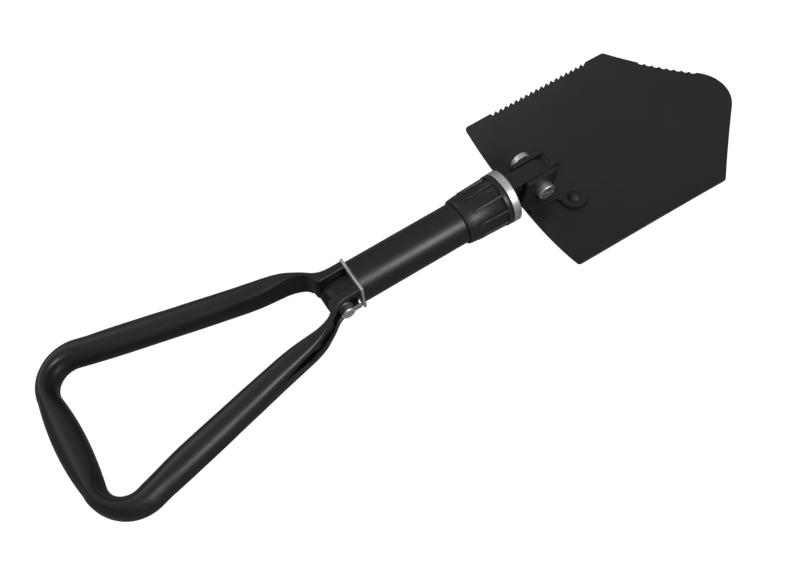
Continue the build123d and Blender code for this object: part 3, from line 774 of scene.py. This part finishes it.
def sectionLoop(section, shape, side):
    # C-shaped loop: over the outside from lip to lip, then back inside the wall
    innerX, innerY, outerX, outerY, high, square, gap, tilt, dented = section
    middle = ((innerX + outerX) / 2, (innerY + outerY) / 2)
    way = (outerX - innerX, outerY - innerY)
    half = hypot(*way) / 2
    way = (way[0] / (2 * half), way[1] / (2 * half))
    start = asin(min(0.98, (gap / high) ** (square / 2)))
    loop = []
    count = shape["around"]
    for inset, order in ((0.0, 1), (shape["wall"], -1)):
        row = []
        for index in range(count + 1):
            angle = tilt + start + (2 * pi - 2 * start) * index / count
            c, n = cos(angle), sin(angle)
            thin = inset + dentAt(angle, dented, shape)
            across = (half - thin) * (abs(c) ** (2 / square)) * (1 if c > 0 else -1)
            rise = (high - thin) * (abs(n) ** (2 / square)) * (1 if n > 0 else -1)
            row.append(place(middle[0] + way[0] * across, side * (middle[1] + way[1] * across), rise))
        loop.extend(row[::order])
    return loop


def prismCutter(name, points, halfWidth):
    # outline in x and z, pushed both ways along y
    vertices = [place(x, -halfWidth, z) for x, z in points]
    vertices += [place(x, halfWidth, z) for x, z in points]
    count = len(points)
    faces = [tuple(range(count)), tuple(range(2 * count - 1, count - 1, -1))]
    for index in range(count):
        other = (index + 1) % count
        faces.append((index, other, other + count, index + count))
    piece = newPiece(name, vertices, faces, smooth=False)
    fixNormals(piece)
    return piece


def foldRoom(name, radius, halfWidth, shape):
    # the space that the stop plate and the tube sweep as the handle folds
    pivotX = (handlePivot.x - bladePivot.x) / mm
    pivotZ = (handlePivot.z - axisZ) / mm
    steps, reach = shape["foldSteps"], shape["foldReach"]
    outer, inner = [], []
    for step in range(steps + 1):
        angle = -radians(shape["foldArc"]) * step / steps
        outer.append((pivotX + reach * cos(angle), pivotZ + reach * sin(angle)))
        inner.append((pivotX + radius * cos(angle), pivotZ + radius * sin(angle)))
    return prismCutter(name, outer + inner[::-1], halfWidth)


def cutAway(piece, cutters):
    for cutter in cutters:
        cut = piece.modifiers.new("cut", "BOOLEAN")
        cut.operation = "DIFFERENCE"
        cut.solver = "EXACT"
        cut.object = cutter
    makePlain(piece)
    for cutter in cutters:
        bpy.data.objects.remove(cutter)
    return piece


def makeHandle(shape):
    half = handleSections(shape)
    loops = [sectionLoop(section, shape, 1) for section in half]
    loops += [sectionLoop(section, shape, -1) for section in half[-2::-1]]
    size = len(loops[0])
    vertices = [vertex for loop in loops for vertex in loop]
    faces = []
    for row in range(len(loops) - 1):
        for index in range(size):
            other = (index + 1) % size
            faces.append((row * size + index, row * size + other,
                          (row + 1) * size + other, (row + 1) * size + index))
    count = shape["around"]
    for row in (0, len(loops) - 1):
        for index in range(count):
            faces.append((row * size + index, row * size + index + 1,
                          row * size + size - 2 - index, row * size + size - 1 - index))
    piece = newPiece("d_handle_tube", vertices, faces)
    fixNormals(piece)
    rooms = [foldRoom("plateRoom", *shape["plateRoom"], shape),
             foldRoom("tubeRoom", *shape["tubeRoom"], shape)]
    cutAway(piece, rooms)
    bevelEdges(piece, shape["lipBevel"], 2, 50)
    markRub(piece, shape["lipRub"], [], 40)
    softenNormals(piece)
    return finishPiece(piece, "d_handle", ["d_handle"], tubeCoat)


makeHandle(handleShape)
print("handle ready")


# locking collar: a turned shell, with ribs set round it by Geometry Nodes

collarShape = {
    "rearX": -70.6, "frontX": -33.4, "bandX": -37.6, "rearRadius": 18.3, "shellRadius": 19.0,
    "bandRadius": 20.8, "boreRadius": 16.9, "innerRadius": 17.6, "seatX": -59.0,
    "ribRise": 0.95, "ribRear": -62.2, "ribs": 10, "ribHalf": 1.05, "ribPhase": -11.3, "around": 160,
    # rounded corners as steps along the axis and down from the corner's radius
    "footRound": ((0.0, 0.8), (0.3, 0.25), (0.9, 0.0)),
    "bandRound": ((0.0, 0.5), (0.15, 0.15), (0.5, 0.0)), "rootFillet": 0.25, "taperLead": 1.0,
    # nose of a rib: step along, share of its rise and share of its width
    "ribNose": ((0.0, 0.0, 0.3), (0.25, 0.65, 0.75), (0.8, 1.0, 1.0)),
    "ribSink": 0.3, "ribProud": 0.05, "ribRoot": 0.6, "ribBlunt": 0.35, "ribAcross": 9,
    "ribSteps": 8, "rubFrom": 0.3, "rubOver": 1.5, "rubMost": 0.6,
}


def turnedMesh(name, profile, around):
    # closed profile of (x, radius) points turned about the shaft axis
    vertices, faces = [], []
    count = len(profile)
    for step in range(around):
        angle = 2 * pi * step / around
        for x, radius in profile:
            vertices.append(place(x, radius * sin(angle), radius * cos(angle)))
    for step in range(around):
        following = (step + 1) % around
        for index in range(count):
            other = (index + 1) % count
            faces.append((step * count + index, step * count + other,
                          following * count + other, following * count + index))
    piece = newPiece(name, vertices, faces)
    fixNormals(piece)
    return piece


def collarProfile(shape):
    rear, front, band = shape["rearX"], shape["frontX"], shape["bandX"]
    shell, proud, fillet = shape["shellRadius"], shape["bandRadius"], shape["rootFillet"]
    profile = [(rear, shape["boreRadius"])]
    profile += [(rear + along, shape["rearRadius"] - down) for along, down in shape["footRound"]]
    profile += [(shape["ribRear"] - shape["taperLead"], shell), (band - fillet, shell),
                (band, shell + fillet)]
    profile += [(band + along, proud - down) for along, down in shape["bandRound"]]
    profile += [(front - along, proud - down) for along, down in reversed(shape["bandRound"])]
    profile += [(front, shape["innerRadius"]), (shape["seatX"], shape["innerRadius"]),
                (shape["seatX"], shape["boreRadius"])]
    return profile


def ribMesh(shape):
    # one rib at the top of the collar: rounded across, tapering out at the rear
    rear, low, shell = shape["ribRear"], shape["ribRise"], shape["shellRadius"]
    stations = [(rear + along, share * low, wide) for along, share, wide in shape["ribNose"]]
    nose, blunt, across = shape["ribNose"][-1][0], shape["ribBlunt"], shape["ribAcross"]
    span = shape["bandX"] + shape["ribSink"] - rear - nose
    rise = shape["bandRadius"] + shape["ribProud"] - shell
    for step in range(1, shape["ribSteps"] + 1):
        share = step / shape["ribSteps"]
        stations.append((rear + nose + span * share, low + (rise - low) * share, 1.0))
    vertices, faces = [], []
    for x, high, wide in stations:
        for index in range(across):
            angle = pi * index / (across - 1)
            y = shape["ribHalf"] * wide * cos(angle) * abs(cos(angle)) ** -blunt
            y = y if abs(cos(angle)) > 0.01 else 0.0
            top = shell - shape["ribProud"] + high * sin(angle) ** blunt
            vertices.append(place(x, y, top if 0 < index < across - 1 else shell - shape["ribRoot"]))
    for row in range(len(stations) - 1):
        for index in range(across):
            other = (index + 1) % across
            faces.append((row * across + index, row * across + other,
                          (row + 1) * across + other, (row + 1) * across + index))
    faces.append(tuple(range(across)))
    faces.append(tuple(range((len(stations) - 1) * across + across - 1,
                             (len(stations) - 1) * across - 1, -1)))
    piece = newPiece("collar_rib", vertices, faces)
    fixNormals(piece)
    return piece


def ribTree():
    tree = bpy.data.node_groups.new("ribsRoundAxis", "GeometryNodeTree")
    face = tree.interface
    face.new_socket(name="Geometry", in_out="INPUT", socket_type="NodeSocketGeometry")
    face.new_socket(name="Rib", in_out="INPUT", socket_type="NodeSocketObject")
    face.new_socket(name="Count", in_out="INPUT", socket_type="NodeSocketInt")
    face.new_socket(name="Axis Height", in_out="INPUT", socket_type="NodeSocketFloat")
    face.new_socket(name="First Angle", in_out="INPUT", socket_type="NodeSocketFloat")
    face.new_socket(name="Material", in_out="INPUT", socket_type="NodeSocketMaterial")
    face.new_socket(name="Geometry", in_out="OUTPUT", socket_type="NodeSocketGeometry")
    entry = tree.nodes.new("NodeGroupInput")
    leave = tree.nodes.new("NodeGroupOutput")
    rib = addNode(tree, "GeometryNodeObjectInfo", {"transform_space": "ORIGINAL"},
                  {"Object": entry.outputs["Rib"]})
    down = addNode(tree, "ShaderNodeCombineXYZ")
    tree.links.new(mathNode(tree, "MULTIPLY", entry.outputs["Axis Height"], -1.0), down.inputs["Z"])
    lowered = addNode(tree, "GeometryNodeTransform", None,
                      {"Geometry": rib.outputs["Geometry"], "Translation": down.outputs[0]})
    points = addNode(tree, "GeometryNodePoints", None, {"Count": entry.outputs["Count"]})
    index = addNode(tree, "GeometryNodeInputIndex")
    turn = mathNode(tree, "DIVIDE", index.outputs[0], entry.outputs["Count"])
    turn = mathNode(tree, "MULTIPLY", turn, 2 * pi)
    turn = mathNode(tree, "ADD", turn, entry.outputs["First Angle"])
    rotation = addNode(tree, "ShaderNodeCombineXYZ", None, {"X": turn})
    ribs = addNode(tree, "GeometryNodeInstanceOnPoints", None,
                   {"Points": points.outputs[0], "Instance": lowered.outputs[0],
                    "Rotation": rotation.outputs[0]})
    up = addNode(tree, "ShaderNodeCombineXYZ", None, {"Z": entry.outputs["Axis Height"]})
    raised = addNode(tree, "GeometryNodeTransform", None,
                     {"Geometry": ribs.outputs[0], "Translation": up.outputs[0]})
    joined = addNode(tree, "GeometryNodeJoinGeometry")
    tree.links.new(raised.outputs[0], joined.inputs[0])
    tree.links.new(entry.outputs["Geometry"], joined.inputs[0])
    plain = addNode(tree, "GeometryNodeRealizeInstances", None, {"Geometry": joined.outputs[0]})
    painted = addNode(tree, "GeometryNodeSetMaterial", None,
                      {"Geometry": plain.outputs[0], "Material": entry.outputs["Material"]})
    tree.links.new(painted.outputs[0], leave.inputs[0])
    return tree


def applyTree(piece, tree, values):
    modifier = piece.modifiers.new("nodes", "NODES")
    modifier.node_group = tree
    for item in tree.interface.items_tree:
        if item.in_out == "INPUT" and item.name in values:
            modifier[item.identifier] = values[item.name]
    return makePlain(piece)


def makeCollar(shape):
    piece = turnedMesh("collar_shell", collarProfile(shape), shape["around"])
    smoothByAngle(piece, 50)
    rib = ribMesh(shape)
    smoothByAngle(rib, 50)
    applyTree(piece, ribTree(), {"Rib": rib, "Count": shape["ribs"], "Axis Height": axisZ,
                                 "First Angle": radians(shape["ribPhase"]),
                                 "Material": blackNylon})
    bpy.data.objects.remove(rib)
    layer = piece.data.attributes.new("rub", "FLOAT", "POINT")
    for index, vertex in enumerate(piece.data.vertices):
        radius = hypot(vertex.co.y, vertex.co.z - axisZ) / mm
        proud = (radius - shape["shellRadius"] - shape["rubFrom"]) / shape["rubOver"]
        layer.data[index].value = max(0.0, min(1.0, proud)) * shape["rubMost"]
    return finishPiece(piece, "lock_collar", ["lock_collar"], blackNylon)


makeCollar(collarShape)
print("collar ready")


# camera, light and floor

cameraLook = {  # metres and degrees, with the lens in millimetres
    "target": (-0.02976, -0.02107, 0.024), "distance": 0.7593,
    "turn": 24.43, "down": 61.04, "roll": 8.60, "lens": 46.96,
}


def addCamera(look):
    turn, down = radians(look["turn"]), radians(look["down"])
    ahead = Vector((sin(turn) * cos(down), cos(turn) * cos(down), -sin(down)))
    upright = (Vector((0, 0, 1)) - ahead * ahead.z).normalized()
    side = ahead.cross(upright)
    roll = radians(look["roll"])
    up = upright * cos(roll) + side * sin(roll)
    right = ahead.cross(up)
    rotation = Matrix((right, up, -ahead)).transposed()
    data = bpy.data.cameras.new("camera")
    data.lens = look["lens"]
    data.sensor_width = 36.0
    data.clip_start = 0.01
    camera = bpy.data.objects.new("camera", data)
    camera.matrix_world = Matrix.Translation(
        Vector(look["target"]) - ahead * look["distance"]) @ rotation.to_4x4()
    scene.collection.objects.link(camera)
    scene.camera = camera


lightLooks = {  # metres and watts
    "keyLight": {"at": (0.45, -1.05, 1.01), "size": 0.55, "power": 11.5},
    "fillLight": {"at": (-0.75, 1.25, 0.95), "size": 1.2, "power": 5.0},
}


def addLight(name, look):
    data = bpy.data.lights.new(name, "AREA")
    data.shape = "SQUARE"
    data.size = look["size"]
    data.energy = look["power"]
    light = bpy.data.objects.new(name, data)
    light.location = look["at"]
    aim = Vector((0, 0, 0.02)) - Vector(look["at"])
    light.rotation_euler = aim.to_track_quat("-Z", "Y").to_euler()
    scene.collection.objects.link(light)


floorLook = {"reach": 30.0, "drop": 0.002, "grey": 0.30, "roughness": 0.9, "glow": 0.95}


def addFloor(look):
    reach, low = look["reach"], cadBox[0][2] - look["drop"]
    corners = [(-reach, -reach, low), (reach, -reach, low), (reach, reach, low), (-reach, reach, low)]
    floor = newPiece("floor", corners, [(0, 1, 2, 3)], smooth=False)
    material, tree, shader = startMaterial("paleFloor")[:3]
    shader.inputs["Base Color"].default_value = (look["grey"], look["grey"], look["grey"], 1)
    shader.inputs["Roughness"].default_value = look["roughness"]
    # the camera sees a lit white sweep, and the object gets little light back from it
    seen = addNode(tree, "ShaderNodeLightPath").outputs["Is Camera Ray"]
    glow = rangeNode(tree, seen, 0.0, 1.0, 0.0, look["glow"])
    tree.links.new(glow, shader.inputs["Emission Strength"])
    shader.inputs["Emission Color"].default_value = (1, 1, 1, 1)
    floor.data.materials.append(material)


worldLook = {"horizon": 0.20, "zenith": 0.46, "wallTop": 0.1, "ceiling": 0.85}


def addWorld(look):
    # a soft ceiling over darker walls
    world = bpy.data.worlds.new("studio")
    world.use_nodes = True
    tree = world.node_tree
    background = tree.nodes["Background"]
    background.inputs["Color"].default_value = (1, 1, 1, 1)
    coords = addNode(tree, "ShaderNodeTexCoord")
    split = addNode(tree, "ShaderNodeSeparateXYZ", None, {"Vector": coords.outputs["Generated"]})
    strength = rangeNode(tree, split.outputs["Z"], look["wallTop"], look["ceiling"],
                         look["horizon"], look["zenith"])
    tree.links.new(strength, background.inputs["Strength"])
    scene.world = world
    scene.view_settings.view_transform = "Standard"


addCamera(cameraLook)
for name, look in lightLooks.items():
    addLight(name, look)
addFloor(floorLook)
addWorld(worldLook)
print("studio ready")
